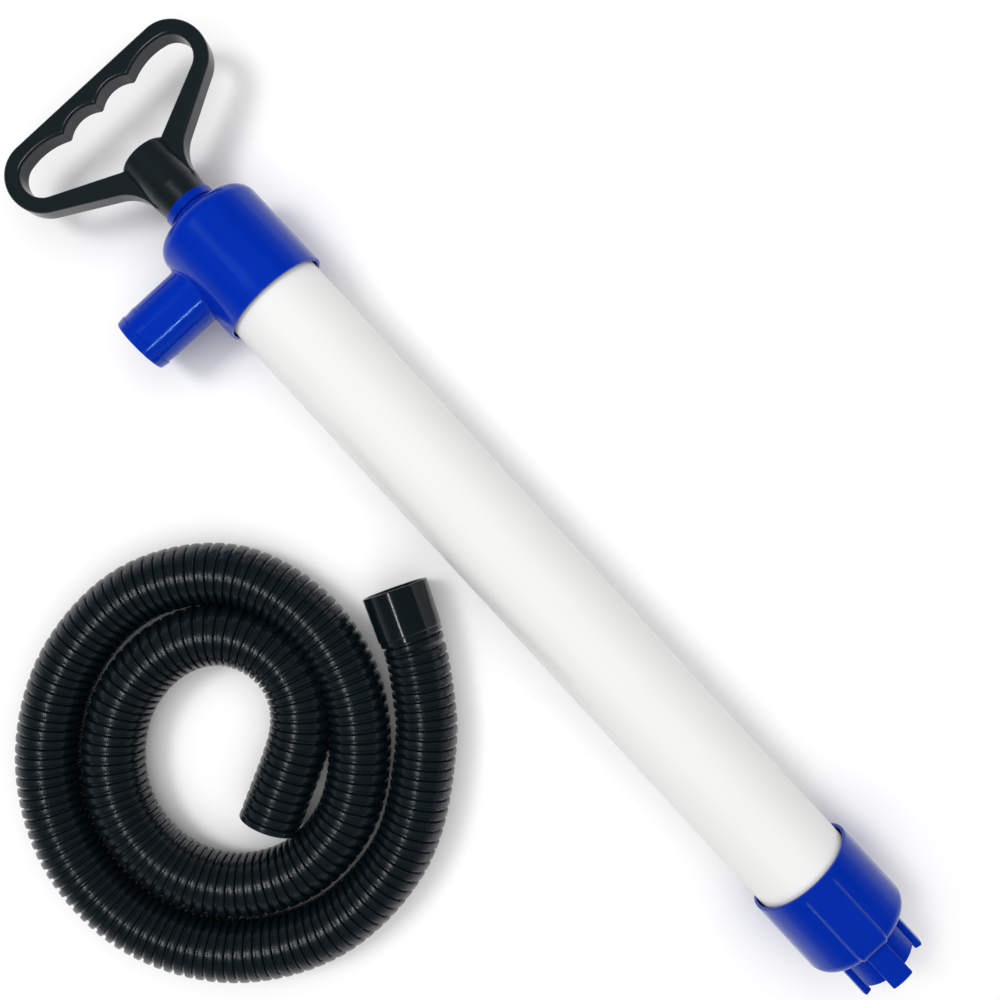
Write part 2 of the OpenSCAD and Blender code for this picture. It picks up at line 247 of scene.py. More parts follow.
def arc(centre: Point, radius: float, start: float, end: float, step: float = 6.0) -> list[Point]:
    """Points along an arc.

    Args:
        centre: Centre of the arc.
        radius: Its radius.
        start: First angle, in degrees.
        end: Last angle, in degrees.
        step: Largest angle between points, in degrees.

    Returns:
        The points, both ends included.
    """
    n = max(2, math.ceil(abs(end - start) / step))
    angles = [math.radians(start + (end - start) * i / n) for i in range(n + 1)]
    return [(centre[0] + radius * math.cos(a), centre[1] + radius * math.sin(a)) for a in angles]


def rounded(corners: list[Corner], steps: int = 6) -> list[Point]:
    """Rounds the corners of a closed outline.

    Args:
        corners: (x, y, radius) of each corner, in order.
        steps: Segments in each rounding.

    Returns:
        The outline's points.
    """
    out: list[Point] = []
    count = len(corners)
    for i, (x, y, radius) in enumerate(corners):
        here = Vector((x, y))
        back = Vector(corners[i - 1][:2]) - here
        ahead = Vector(corners[(i + 1) % count][:2]) - here
        if radius <= 0:
            out.append((x, y))
            continue
        u, v = back.normalized(), ahead.normalized()
        half = u.angle(v) / 2
        reach = min(radius / math.tan(half), 0.499 * back.length, 0.499 * ahead.length)
        radius = reach * math.tan(half)
        centre = here + (u + v).normalized() * (radius / math.sin(half))
        first, last = here + u * reach - centre, here + v * reach - centre
        sweep = first.angle_signed(last)
        for k in range(steps + 1):
            turned = Matrix.Rotation(-sweep * k / steps, 2) @ first
            out.append((centre.x + turned.x, centre.y + turned.y))
    return out


def filled(loop: list[Point], parts: Callable[[float], int]) -> list[Point]:
    """Adds points along the straight runs of a closed outline.

    Args:
        loop: The outline's points.
        parts: Says how many parts a run of a given length is divided into.

    Returns:
        The outline with its added points.
    """
    out: list[Point] = []
    for a, b in zip(loop, loop[1:] + loop[:1]):
        n = parts(math.dist(a, b))
        out += [(a[0] + (b[0] - a[0]) * k / n, a[1] + (b[1] - a[1]) * k / n) for k in range(n)]
    return out


class MeshMaker:
    """Builds mesh data from plain lists of points and faces."""

    def __init__(self) -> None:
        """Starts an empty mesh."""
        self.points: list[Vector] = []
        self.faces: list[tuple[int, ...]] = []

    def ring(self, points: list[Vector]) -> list[int]:
        """Adds a ring of points and returns their numbers."""
        start = len(self.points)
        self.points.extend(points)
        return list(range(start, start + len(points)))

    def band(self, a: list[int], b: list[int], closed: bool = True) -> None:
        """Joins two rings of the same length with a band of quads."""
        n = len(a)
        for i in range(n if closed else n - 1):
            j = (i + 1) % n
            self.faces.append((a[i], a[j], b[j], b[i]))

    def lathe(self, outline: list[Point], sides: int) -> None:
        """Turns a closed (radius, height) outline round Z into a ring-shaped solid.

        Args:
            outline: The section, clear of the axis. A point at radius 0 becomes a tight hole of no size.
            sides: Facets round the axis.
        """
        rings = []
        for s in range(sides):
            a = math.tau * s / sides
            c, n = math.cos(a), math.sin(a)
            rings.append(self.ring([Vector((r * c, r * n, z)) for r, z in outline]))
        for s in range(sides):
            self.band(rings[s], rings[(s + 1) % sides])

    def loft(self, sections: list[list[Vector]], capped: bool = True) -> None:
        """Joins a row of closed sections into a tube.

        Args:
            sections: Rings with the same number of points.
            capped: Closes both ends with flat faces.
        """
        rings = [self.ring(s) for s in sections]
        for a, b in zip(rings, rings[1:]):
            self.band(a, b)
        if capped:
            self.faces.append(tuple(reversed(rings[0])))
            self.faces.append(tuple(rings[-1]))

    def plate(self, outer: list[Point], inner: list[Point], thick: float, edge: float) -> None:
        """Extrudes an outline with one hole, with rounded edges.

        Args:
            outer: Outside of the plate, counter-clockwise and smooth.
            inner: The hole, counter-clockwise and smooth.
            thick: Thickness, centred on Z 0.
            edge: Radius of the rounding along both faces.
        """
        steps = 5
        bends = [math.radians(90 * k / steps) for k in range(steps + 1)]
        bevel = [(edge * (1 - math.cos(a)), thick / 2 - edge * (1 - math.sin(a))) for a in bends]
        levels = [(inset, -height) for inset, height in reversed(bevel)] + bevel
        walls = []
        for loop, sign in ((outer, 1.0), (inner, -1.0)):
            rings = []
            for inset, height in levels:
                moved = self._inset(loop, inset * sign)
                rings.append(self.ring([Vector((x, y, height)) for x, y in moved]))
            for a, b in zip(rings, rings[1:]):
                self.band(*((a, b) if sign > 0 else (b, a)))
            walls.append(rings)
        for level, flip in ((-1, False), (0, True)):
            loops = [walls[0][level], walls[1][level]]
            numbers = loops[0] + loops[1]
            for face in tessellate_polygon([[self.points[i] for i in loop] for loop in loops]):
                ids = [numbers[i] for i in face]
                a, b, c = (self.points[i] for i in ids)
                up = (b - a).cross(c - a).z > 0
                self.faces.append(tuple(ids if up != flip else reversed(ids)))

    @staticmethod
    def _inset(loop: list[Point], inset: float) -> list[Point]:
        """Moves a counter-clockwise loop inwards along its normals."""
        moved = []
        count = len(loop)
        for i, (x, y) in enumerate(loop):
            ax, ay = loop[i - 1]
            bx, by = loop[(i + 1) % count]
            along = Vector((bx - ax, by - ay)).normalized()
            moved.append((x - along.y * inset, y + along.x * inset))
        return moved

    def mesh(self, name: str, place: Matrix) -> bpy.types.Mesh:
        """Makes the mesh data block.

        Args:
            name: The mesh's name.
            place: Takes the points from the maker's frame to the row frame.

        Returns:
            The mesh.
        """
        data = bpy.data.meshes.new(name)
        data.from_pydata([tuple(place @ p) for p in self.points], [], self.faces)
        data.validate()
        return data


@dataclass
class Workshop:
    """Places finished pieces on the CAD frame, and knows its main sizes in millimetres."""

    frame: dict
    nodes: dict[str, bpy.types.Object] = field(init=False)
    length: float = field(init=False)
    axis_y: float = field(init=False)
    rim_r: float = field(init=False)
    lying: Matrix = field(init=False)

    def __post_init__(self) -> None:
        """Reads the pump's place from the CAD pieces."""
        self.nodes = self.frame["nodes"]
        tube_low, tube_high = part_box("barrel_tube")
        foot_low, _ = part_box("foot_cap")
        _, grip_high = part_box("handle")
        self.length = (grip_high.x - foot_low.x) / MM
        self.axis_y = (tube_low.y + tube_high.y) / 2 / MM
        self.rim_r = (tube_low.z + tube_high.z) / 2 / MM
        turn = Matrix((
            (0, 0, 1, -self.length / 2), (0, 1, 0, self.axis_y), (-1, 0, 0, self.rim_r), (0, 0, 0, 1)))
        self.lying = Matrix.Scale(MM, 4) @ turn

    def height(self, x_m: float) -> float:
        """Turns an X in the row frame, in metres, into a height up the pump, in millimetres."""
        return x_m / MM + self.length / 2

    def span(self, node: str) -> Point:
        """Lowest and highest height of a CAD piece up the pump, in millimetres."""
        low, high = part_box(node)
        return self.height(low.x), self.height(high.x)

    def radius(self, node: str) -> float:
        """Outside radius of a round CAD piece, in millimetres."""
        low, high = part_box(node)
        return (high.y - low.y) / 2 / MM

    def add(self, name: str, maker: MeshMaker, finish: Finish, body: Body, nodes: list[str],
            lying: bool = True, cut: MeshMaker | None = None,
            joined: MeshMaker | None = None) -> bpy.types.Object:
        """Adds a finished piece and makes it ride on its body.

        Args:
            name: The piece's name.
            maker: Its points and faces.
            finish: Its finish.
            body: The CAD body it rides on.
            nodes: The CAD nodes it stands for.
            lying: Laid down from the upright frame, or drawn in place in millimetres.
            cut: A solid to take out of it, in the same frame.
            joined: More points and faces, added after the cut.

        Returns:
            The piece.
        """
        place = self.lying if lying else Matrix.Scale(MM, 4)
        data = maker.mesh(name, place)
        piece = bpy.data.objects.new(name, data)
        bpy.context.scene.collection.objects.link(piece)
        if cut is not None:
            self._cut(piece, cut.mesh("cutter", place))
        if joined is not None:
            self._join(piece, joined.mesh("joined", place))
        self._dress(piece, finish)
        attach(piece, body.value)
        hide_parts(*nodes)
        LOG.info("made %s: %d faces, %s", name, len(piece.data.polygons), finish.slot.value)
        return piece

    @staticmethod
    def _cut(piece: bpy.types.Object, solid: bpy.types.Mesh) -> None:
        """Takes a solid out of a piece."""
        tool = bpy.data.objects.new("cutter", solid)
        bpy.context.scene.collection.objects.link(tool)
        boolean = piece.modifiers.new("cut", "BOOLEAN")
        boolean.operation = "DIFFERENCE"
        boolean.object = tool
        boolean.solver = "EXACT"
        bpy.context.view_layer.update()
        graph = bpy.context.evaluated_depsgraph_get()
        made = bpy.data.meshes.new_from_object(piece.evaluated_get(graph))
        piece.modifiers.clear()
        piece.data = made
        bpy.data.objects.remove(tool)

    @staticmethod
    def _join(piece: bpy.types.Object, more: bpy.types.Mesh) -> None:
        """Adds a second closed shell to a piece."""
        both = bmesh.new()
        both.from_mesh(piece.data)
        both.from_mesh(more)
        both.to_mesh(piece.data)
        both.free()

    @staticmethod
    def _dress(piece: bpy.types.Object, finish: Finish) -> None:
        """Smooths a piece's shading, keeps its flats flat and gives it its finish."""
        data = piece.data
        data.shade_smooth()
        data.set_sharp_from_angle(angle=math.radians(SHARP_ANGLE))
        flats = piece.modifiers.new("flats", "WEIGHTED_NORMAL")
        flats.keep_sharp = True
        data.materials.clear()
        data.materials.append(finish.material())

    def keep(self, node: str, finish: Finish) -> None:
        """Gives a CAD piece that stays its finish."""
        piece = self.nodes[node]
        piece.data.materials.clear()
        piece.data.materials.append(finish.material())
        LOG.info("kept %s: %s", node, finish.slot.value)


@dataclass
class Camera:
    """A camera straight above the pump, turned so that the pump runs from corner to corner.

    Attributes:
        place: Where it hangs, in metres.
        turn: Its turn about the vertical, in degrees.
        lens: Focal length for a 36 mm sensor.
    """

    place: tuple[float, float, float] = (0.0058, -0.0148, 0.537)
    turn: float = 227.3
    lens: float = 39.75

    def build(self) -> None:
        """Adds the camera and makes it the scene's own."""
        data = bpy.data.cameras.new("camera")
        data.lens = self.lens
        data.sensor_width = 36.0
        data.clip_start = 0.01
        camera = bpy.data.objects.new("camera", data)
        camera.location = self.place
        camera.rotation_euler = (0.0, 0.0, math.radians(self.turn))
        bpy.context.scene.collection.objects.link(camera)
        bpy.context.scene.camera = camera
        LOG.info("camera at %s", self.place)


@dataclass
class Hose:
    """The corrugated hose and the smooth cuff on its end, in the places where they lie.

    Sizes are in millimetres and angles in degrees.

    Attributes:
        lead: Points from the cuff to the coil.
        coil_pitch: How much nearer the middle each turn lies.
        coil_steps: Steps round the coil.
        outer_turn: Distance from the middle at each step of the outer turn.
        tail: Points of the inner hook, as far as the bare end.
        cuff_bore_r: Radius of the cuff's socket.
        cuff_taper: How much thinner the cuff is at its base.
        rib_pitch: Spacing of the ribs.
        rib_depth: Depth of the grooves between ribs.
    """

    shop: Workshop
    cuff_mouth: Point = (9, 50)
    cuff_base: Point = (-14, 60)
    lead: tuple[Point, ...] = ((-25, 66), (-37, 74), (-49, 83))
    coil_centre: Point = (3, 160)
    coil_start: float = 227.0
    coil_step: float = 30.0
    coil_pitch: float = 30.7
    coil_steps: int = 20
    outer_turn: tuple[float, ...] = (91, 92, 93, 92, 90, 88, 87, 88, 89, 85, 74, 65)
    tail: tuple[Point, ...] = ((54.5, 133), (44, 121.5), (30, 115), (15, 114), (0.5, 119), (-11, 129),
                               (-19, 142), (-26, 156), (-33, 170))
    hose_r: float = 14.7
    cuff_r: float = 16.0
    cuff_bore_r: float = 14.5
    cuff_taper: float = 0.4
    rib_pitch: float = 4.56
    rib_depth: float = 1.5
    bore_r: float = 12.0
    sides: int = 48

    def keys(self) -> list[Vector]:
        """The hose's key points in millimetres, from the cuff's base to the bare end."""
        points = [Vector((*self.cuff_base, self.cuff_r))]
        points.append(Vector((*self.lead[0], (self.cuff_r + self.hose_r) / 2)))
        points += [Vector((*p, self.hose_r)) for p in self.lead[1:]]
        for k in range(self.coil_steps + 1):
            a = math.radians(self.coil_start - self.coil_step * k)
            r = self.outer_turn[k % 12] - self.coil_pitch * (k // 12)
            x = self.coil_centre[0] + r * math.cos(a)
            y = self.coil_centre[1] + r * math.sin(a)
            points.append(Vector((x, y, self.hose_r)))
        return points + [Vector((*p, self.hose_r)) for p in self.tail]

    def cuff_dir(self) -> Vector:
        """The way the cuff's mouth points."""
        run = Vector(self.cuff_mouth) - Vector(self.cuff_base)
        return Vector((*run.normalized(), 0.0))

    def route(self, step: float) -> list[Vector]:
        """Points along the hose's smooth line.

        Args:
            step: Spacing of the points, in millimetres.

        Returns:
            Evenly spaced points in millimetres, both ends included.
        """
        keys = self.keys()
        gaps = [(b - a).length for a, b in zip(keys, keys[1:])]
        heads = [(b - a).normalized() for a, b in zip(keys, keys[1:])]
        slopes = [-self.cuff_dir()]
        for i in range(1, len(keys) - 1):
            slopes.append((heads[i - 1] * gaps[i] + heads[i] * gaps[i - 1]) / (gaps[i] + gaps[i - 1]))
        slopes.append(heads[-1])
        fine: list[Vector] = []
        for i, gap in enumerate(gaps):
            a, b, u, v = keys[i], keys[i + 1], slopes[i] * gap, slopes[i + 1] * gap
            n = max(4, round(gap / 0.5))
            for j in range(n):
                t = j / n
                fine.append(a + u * t + (3 * (b - a) - 2 * u - v) * t**2 + (2 * (a - b) + u + v) * t**3)
        fine.append(keys[-1])
        return self._even(fine, step)

    @staticmethod
    def _even(fine: list[Vector], step: float) -> list[Vector]:
        """Spaces points evenly along a line of closer points."""
        lengths = [0.0]
        for a, b in zip(fine, fine[1:]):
            lengths.append(lengths[-1] + (b - a).length)
        count = max(2, round(lengths[-1] / step))
        out, k = [], 0
        for i in range(count + 1):
            want = lengths[-1] * i / count
            while k < len(fine) - 2 and lengths[k + 1] < want:
                k += 1
            part = (want - lengths[k]) / max(1e-9, lengths[k + 1] - lengths[k])
            out.append(fine[k].lerp(fine[k + 1], part))
        return out

    def build(self) -> None:
        cuff = self._cuff()
        line = self.route(1.0)
        length = sum((b - a).length for a, b in zip(line, line[1:]))
        hose = self._ribbed(line, length)

    def _cuff(self) -> bpy.types.Object:
        """The smooth push-on cuff: a rounded mouth, a faint taper and a stepped collar at the hose."""
        length = (Vector(self.cuff_mouth) - Vector(self.cuff_base)).length
        base_r = self.cuff_r - self.cuff_taper
        collar, stop = 2.6, 4.0
        outline = rounded([
            (self.bore_r, 0.0, 0.0), (base_r - 0.5, 0.0, 0.6), (base_r - 0.5, collar, 0.3),
            (base_r - 0.1, collar + 0.5, 0.3), (base_r - 0.1, collar + 1.0, 0.4),
            (self.cuff_r, length, 1.3), (self.cuff_bore_r, length, 0.9), (self.cuff_bore_r, stop, 0.4),
            (self.bore_r, stop, 0.3)])
        maker = MeshMaker()
        maker.lathe(outline, MIDDLE_SIDES)
        away = self.cuff_dir()
        side = Vector((0, 0, 1)).cross(away)
        place = Matrix((
            (side.x, 0.0, away.x, self.cuff_base[0]), (side.y, 0.0, away.y, self.cuff_base[1]),
            (0.0, 1.0, 0.0, self.cuff_r), (0.0, 0.0, 0.0, 1.0)))
        maker.points = [place @ p for p in maker.points]
        maker.faces = [tuple(reversed(f)) for f in maker.faces]
        return self.shop.add("hose_cuff_piece", maker, BLACK_CUFF, Body.HOSE, ["hose_cuff"], lying=False)

    def _ribbed(self, line: list[Vector], length: float) -> bpy.types.Object:
        """Sweeps the ribbed wall along the line, out along the ribs and back down the bore.

        Args:
            line: The hose's centreline.
            length: Its length in millimetres.

        Returns:
            The hose.
        """
        ribs = round(length / self.rib_pitch)
        pitch = length / ribs
        # (part of the pitch, part of the depth) down one groove and over one rib
        shape = ((0.0, 1.0), (0.2, 1.0), (0.27, 0.35), (0.34, 0.06), (0.6, 0.0), (0.86, 0.06), (0.93, 0.35))
        stations: list[tuple[float, float]] = []
        for i in range(ribs):
            stations += [((i + part) * pitch, self.hose_r - self.rib_depth * deep) for part, deep in shape]
        stations.append((length, self.hose_r - self.rib_depth))
        stations.append((length, self.bore_r))
        stations += [(i * pitch, self.bore_r) for i in range(ribs - 1, 0, -1)]
        stations.append((0.0, self.bore_r))
        turn = [math.tau * s / self.sides for s in range(self.sides)]
        maker = MeshMaker()
        rings = []
        for along, radius in stations:
            at = along / length * (len(line) - 1)
            k = min(int(at), len(line) - 2)
            middle = line[k].lerp(line[k + 1], at - k)
            ahead = (line[min(k + 2, len(line) - 1)] - line[max(k - 1, 0)]).normalized()
            if along < pitch:
                ahead = -self.cuff_dir()
            side = Vector((0, 0, 1)).cross(ahead).normalized()
            up = ahead.cross(side)
            ways = [side * math.cos(a) + up * math.sin(a) for a in turn]
            rings.append(maker.ring([middle + way * radius for way in ways]))
        for a, b in zip(rings, rings[1:] + rings[:1]):
            maker.band(a, b)
        return self.shop.add("hose_ribbed", maker, BLACK_HOSE, Body.HOSE, ["hose_tube"], lying=False)


@dataclass
class Barrel:
    """The white tube and the gaskets at its two ends."""

    shop: Workshop

    def build(self) -> None:
        """Makes the tube with eased rims."""
        low, high = self.shop.span("barrel_tube")
        r = self.shop.radius("barrel_tube")
        maker = MeshMaker()
        maker.lathe(rounded([(r - TUBE_WALL, low, 0.4), (r, low, 0.4), (r, high, 0.4),
                             (r - TUBE_WALL, high, 0.4)], 3), LARGE_SIDES)
        self.shop.add("barrel_white_tube", maker, WHITE_TUBE, Body.BARREL, ["barrel_tube"])
        self.shop.keep("head_gasket", RUBBER)
        self.shop.keep("foot_gasket", RUBBER)


@dataclass
class Head:
    """The blue head with its spout, and the gland in its top."""

    shop: Workshop
    height: float = 51.0
    shoulder: float = 7.5
    draft: float = 0.3
    rim_gap: float = 1.1
    flare: float = 6.0
    tube_end: float = 13.4
    wall: float = 5.0
    gland_r: float = 11.8
    boss_r: float = 15.5
    boss_h: float = 7.5
    spout_r: float = 14.2
    spout_bore_r: float = 11.6
    spout_height: float = 27.0
    hole_slack: float = 0.8
    root_fillet: float = 1.3
    root_sink: float = 0.4
    barb_rise: float = 0.15
    flange_h: float = 4.2
    dish_rim: float = 0.8
    dish_depth: float = 1.0
    rod_gap: float = 0.4

    def build(self) -> None:
        """Makes the head, the gland cap and the pieces inside them."""
        self._head()
        self._gland_cap()
        self.shop.keep("gland_seal", RUBBER)
        self.shop.keep("guide_bush", ACETAL)

    def _head(self) -> None:
        """The head: a turned shell with a spout standing out of its side."""
        skirt, _ = self.shop.span("head_body")
        top = skirt + self.height
        r = self.shop.rim_r
        tube_r = self.shop.radius("barrel_tube")
        bore_r = tube_r - TUBE_WALL
        chamber = skirt + self.tube_end + 1.0
        ceiling = top - self.wall
        section = rounded([
            (r, skirt, 0.45), (r - self.draft, top, self.shoulder), (self.gland_r, top, 0.5),
            (self.gland_r, ceiling - self.boss_h, 0.4), (self.boss_r, ceiling - self.boss_h, 0.5),
            (self.boss_r, ceiling, 1.0), (bore_r, ceiling, 1.5), (bore_r, chamber, 0.2),
            (tube_r, chamber, 0.2), (tube_r, skirt + self.flare, 0.2),
            (tube_r + self.rim_gap, skirt + self.flare, 0.3), (tube_r + self.rim_gap, skirt, 0.3)], 10)
        maker = MeshMaker()
        maker.lathe(section, LARGE_SIDES)
        middle = skirt + self.spout_height
        hole = MeshMaker()
        edge = arc((0, 0), self.spout_bore_r + self.hole_slack, 0, 360, 5)[:-1]
        hole.loft([[Vector((x, y, middle + z)) for x, z in edge] for y in (r + 5.0, 12.0)])
        self.shop.add("head_moulding", maker, BLUE_MOULDING, Body.BARREL, ["head_body"], cut=hole,
                      joined=self._spout(middle, r, bore_r))

    def _spout(self, middle: float, head_r: float, bore_r: float) -> MeshMaker:
        """The spout: a fillet off the head's side, a plain length, two barbs and an open bore.

        Args:
            middle: Height of the spout's axis.
            head_r: Radius of the head that it stands on.
            bore_r: Radius of the head's chamber.

        Returns:
            The spout's points and faces.
        """
        _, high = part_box("head_body")
        tip = high.y / MM - self.shop.axis_y
        steps = 10
        r, fillet = self.spout_r, self.root_fillet
        turn = [math.tau * s / MIDDLE_SIDES for s in range(MIDDLE_SIDES)]
        rings: list[list[Vector]] = [[] for _ in range(steps + 2)]
        inner: list[Vector] = []
        for a in turn:
            out = Vector((math.sin(a), 0.0, math.cos(a)))
            ball = out * (r + fillet)
            ball.y = math.sqrt((head_r + fillet) ** 2 - ball.x**2)
            on_head = Vector((-ball.x, -ball.y, 0.0)).normalized()
            rings[0].append(ball + on_head * (fillet + self.root_sink) + Vector((0, 0, middle)))
            for k in range(steps + 1):
                spin = on_head.slerp(-out, k / steps)
                rings[k + 1].append(ball + spin * fillet + Vector((0, 0, middle)))
            mouth = out * self.spout_bore_r
            inner.append(Vector((mouth.x, math.sqrt(bore_r**2 - mouth.x**2) + 0.3, middle + mouth.z)))
        crest, wall_r, end_r = r + self.barb_rise, r - 0.3, self.spout_bore_r
        # (radius, distance back from the tip): the inner barb, the outer barb and the rounded end
        profile = [(r, 10.9), (crest, 10.3), (crest, 10.0), (wall_r, 5.0),
                   (wall_r + 0.1, 4.7), (crest, 4.3), (crest, 4.0), (wall_r, 0.9),
                   (wall_r - 0.15, 0.35), (wall_r - 0.6, 0.0), (end_r + 0.5, 0.0), (end_r, 0.5)]
        for radius, back in profile:
            rings.append([Vector((radius * math.sin(a), tip - back, middle + radius * math.cos(a)))
                          for a in turn])
        rings.append(inner)
        maker = MeshMaker()
        numbers = [maker.ring(ring) for ring in rings]
        for a, b in zip(numbers, numbers[1:] + numbers[:1]):
            maker.band(a, b)
        return maker

    def _gland_cap(self) -> None:
        """The cap that screws into the head: a flange, a groove below it and a dish round the rod."""
        low, high = self.shop.span("gland_cap")
        r = self.shop.radius("gland_cap")
        rod_r = self.shop.radius("rod_tube")
        maker = MeshMaker()
        maker.lathe(rounded([
            (rod_r + self.rod_gap, low, 0.2), (self.gland_r, low, 0.3),
            (self.gland_r, high - self.flange_h, 0.5), (r, high - self.flange_h, 0.6), (r, high, 0.8),
            (r - self.dish_rim, high, 0.25), (r - self.dish_rim, high - self.dish_depth, 0.2),
            (rod_r + self.rod_gap, high - self.dish_depth, 0.3)], 5), MIDDLE_SIDES)
        self.shop.add("gland_cap_moulding", maker, BLUE_MOULDING, Body.BARREL, ["gland_cap"])


@dataclass
class Foot:
    """The blue foot: a cup, a neck with four legs, the strainer and the foot valve."""

    shop: Workshop
    neck_r: float = 16.0
    inlet_r: float = 13.4
    tab_h: float = 4.2
    neck_top: float = 21.2
    floor_t: float = 3.5
    shoulder: float = 6.0
    rim_gap: float = 1.1
    flare: float = 6.0
    leg_w: float = 12.1
    leg_t: float = 3.8
    leg_proud: float = 2.1
    leg_sink: float = 0.8
    leg_edge: float = 0.8
    leg_round: float = 0.9
    pad_w: float = 17.0
    pad_proud: float = 0.45
    pad_lip_gap: float = 1.8
    pad_bevel: float = 1.9
    pad_corner: float = 3.0
    pad_depth: float = 3.5

    def build(self) -> None:
        """Makes the foot and dresses the pieces inside it."""
        _, lip = self.shop.span("foot_cap")
        r = self.shop.rim_r
        tube_r = self.shop.radius("barrel_tube")
        inside = self.neck_top + self.floor_t
        maker = MeshMaker()
        maker.lathe(rounded([
            (self.inlet_r, self.tab_h, 0.4), (self.neck_r, self.tab_h, 0.6),
            (self.neck_r, self.neck_top, 0.7), (r, self.neck_top, self.shoulder), (r, lip, 0.45),
            (tube_r + self.rim_gap, lip, 0.3),
            (tube_r + self.rim_gap, lip - self.flare, 0.3), (tube_r, lip - self.flare, 0.2),
            (tube_r, inside, 0.2), (self.inlet_r, inside, 0.4)], 10), LARGE_SIDES)
        for quarter in range(4):
            self._leg(maker, math.radians(90 * quarter))
        self._pad(maker, lip)
        self.shop.add("foot_moulding", maker, BLUE_MOULDING, Body.BARREL, ["foot_cap"])
        self.shop.keep("strainer_plate", BLUE_MOULDING)
        self.shop.keep("foot_valve_seat", ACETAL)
        self.shop.keep("foot_valve_pin", ACETAL)
        self.shop.keep("foot_valve_disc", RUBBER)

    def _leg(self, maker: MeshMaker, turn: float) -> None:
        """Adds one leg: a rib up the neck that ends below it in a round-ended tab.

        Args:
            maker: The foot's mesh.
            turn: The leg's place round the neck, in radians.
        """
        outer = self.neck_r + self.leg_proud
        middle = outer - self.leg_t / 2
        top = self.neck_top + self.leg_sink
        end = self.leg_round
        bends = [math.radians(15 * k) for k in range(7)]
        sections = []
        for z, inset in [(end * (1 - math.cos(a)), end * (1 - math.sin(a))) for a in bends] + [(top, 0.0)]:
            half_w, half_t = self.leg_w / 2 - inset, self.leg_t / 2 - inset
            round_r = max(0.15, self.leg_edge - inset)
            outline = rounded([(-half_w, -half_t, round_r), (half_w, -half_t, round_r),
                               (half_w, half_t, round_r), (-half_w, half_t, round_r)], 4)
            ring = []
            for across, out in filled(outline, lambda run: 8 if run > 2.0 else 1):
                a = turn + across / outer
                ring.append(Vector(((middle + out) * math.cos(a), (middle + out) * math.sin(a), z)))
            sections.append(ring)
        maker.loft(sections)

    def _pad(self, maker: MeshMaker, lip: float) -> None:
        """Adds the raised flat pad up the cup and over its shoulder, on the side that faces up.

        Args:
            maker: The foot's mesh.
            lip: Height of the cup's lip.
        """
        r, s = self.shop.rim_r, self.shoulder
        top = lip - self.pad_lip_gap
        down = 0.5
        count = int((top - self.neck_top - s) / down)
        spine = [(r, top - down * k) for k in range(count + 1)]
        spine += [(r - s + s * math.cos(math.radians(a)), self.neck_top + s - s * math.sin(math.radians(a)))
                  for a in range(0, 91, 6)]
        spine.append((self.neck_r + 0.3, self.neck_top))
        sections = []
        for i, (radius, z) in enumerate(spine):
            a, b = spine[max(0, i - 1)], spine[min(len(spine) - 1, i + 1)]
            along = Vector((b[0] - a[0], b[1] - a[1])).normalized()
            out = Vector((-along.y, along.x))
            sections.append([Vector((-(radius + out.x * lift), across, z + out.y * lift))
                             for across, lift in self._pad_row(r, top - z)])
        maker.loft(sections)

    def _pad_row(self, r: float, below: float) -> list[Point]:
        """One section across the pad.

        Args:
            r: Radius of the cup.
            below: Distance below the pad's top edge.

        Returns:
            (across, lift) points, with the lift measured from the cup's highest line.
        """
        bevel = self.pad_bevel
        short = max(0.0, self.pad_corner - below)
        half = self.pad_w / 2 - (self.pad_corner - math.sqrt(max(0.0, self.pad_corner**2 - short**2)))
        steps = 5
        edge: list[Point] = []
        for k in range(steps + 1):
            part = k / steps
            across = half - bevel * part
            full = part * min(1.0, below / bevel)
            drop = r - math.sqrt(r * r - across * across)
            edge.append((across, -drop * (1 - full) + self.pad_proud * full - 0.1 * (1 - full)))
        row = [(half, -self.pad_depth)] + edge
        return [(-across, lift) for across, lift in row] + list(reversed(row))


